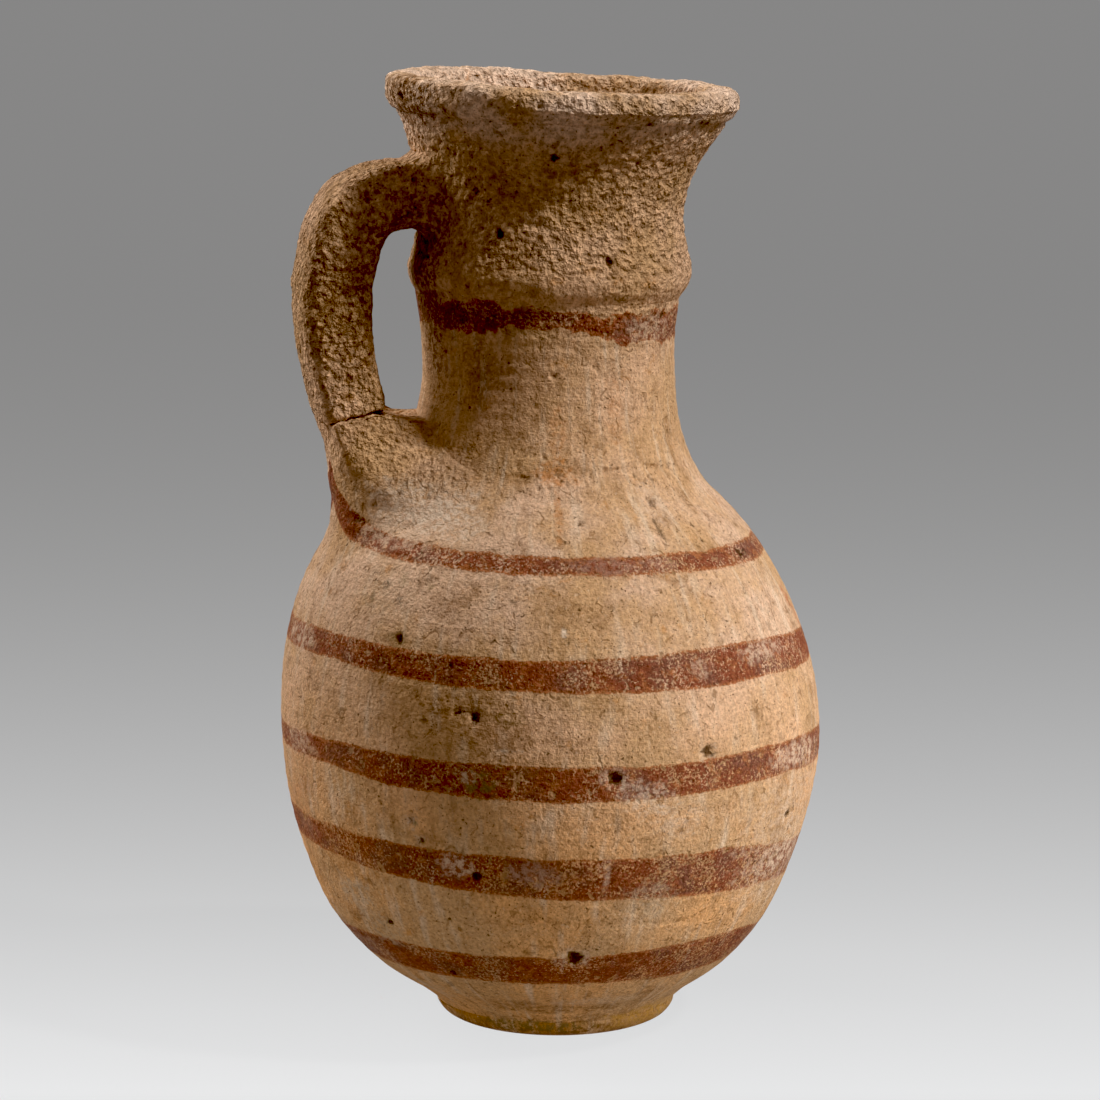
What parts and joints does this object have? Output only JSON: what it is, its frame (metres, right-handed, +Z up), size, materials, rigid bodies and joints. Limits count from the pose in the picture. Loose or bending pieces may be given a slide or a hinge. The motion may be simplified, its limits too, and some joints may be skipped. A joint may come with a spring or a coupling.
{
  "type": "one-handled pottery jug",
  "caption": "One-handled fired clay jug with an oval body, ridged neck, flaring mouth with a thick lip, low disc foot and painted level bands.",
  "frame": {"origin": "on the vessel's axis at the flat resting face of the foot", "axes": "+Z up along the vessel's axis, -X towards the handle, the XZ plane is the mirror plane"},
  "size_m": [0.121, 0.121, 0.21],
  "materials": {
    "banded_clay": "matt buff fired clay with worn red-brown slip bands",
    "gritty_clay": "matt buff fired clay, coarse and pitted",
    "foot_clay": "matt ochre-stained fired clay, worn at the edge"
  },
  "bodies": {
    "root": {"foot": "foot_clay", "lower_body": "banded_clay", "upper_body": "banded_clay", "lower_neck": "banded_clay", "neck_ridge": "gritty_clay", "upper_neck": "gritty_clay", "rim": "gritty_clay", "handle": "gritty_clay", "handle_pad": "gritty_clay"}
  },
  "joints": []
}
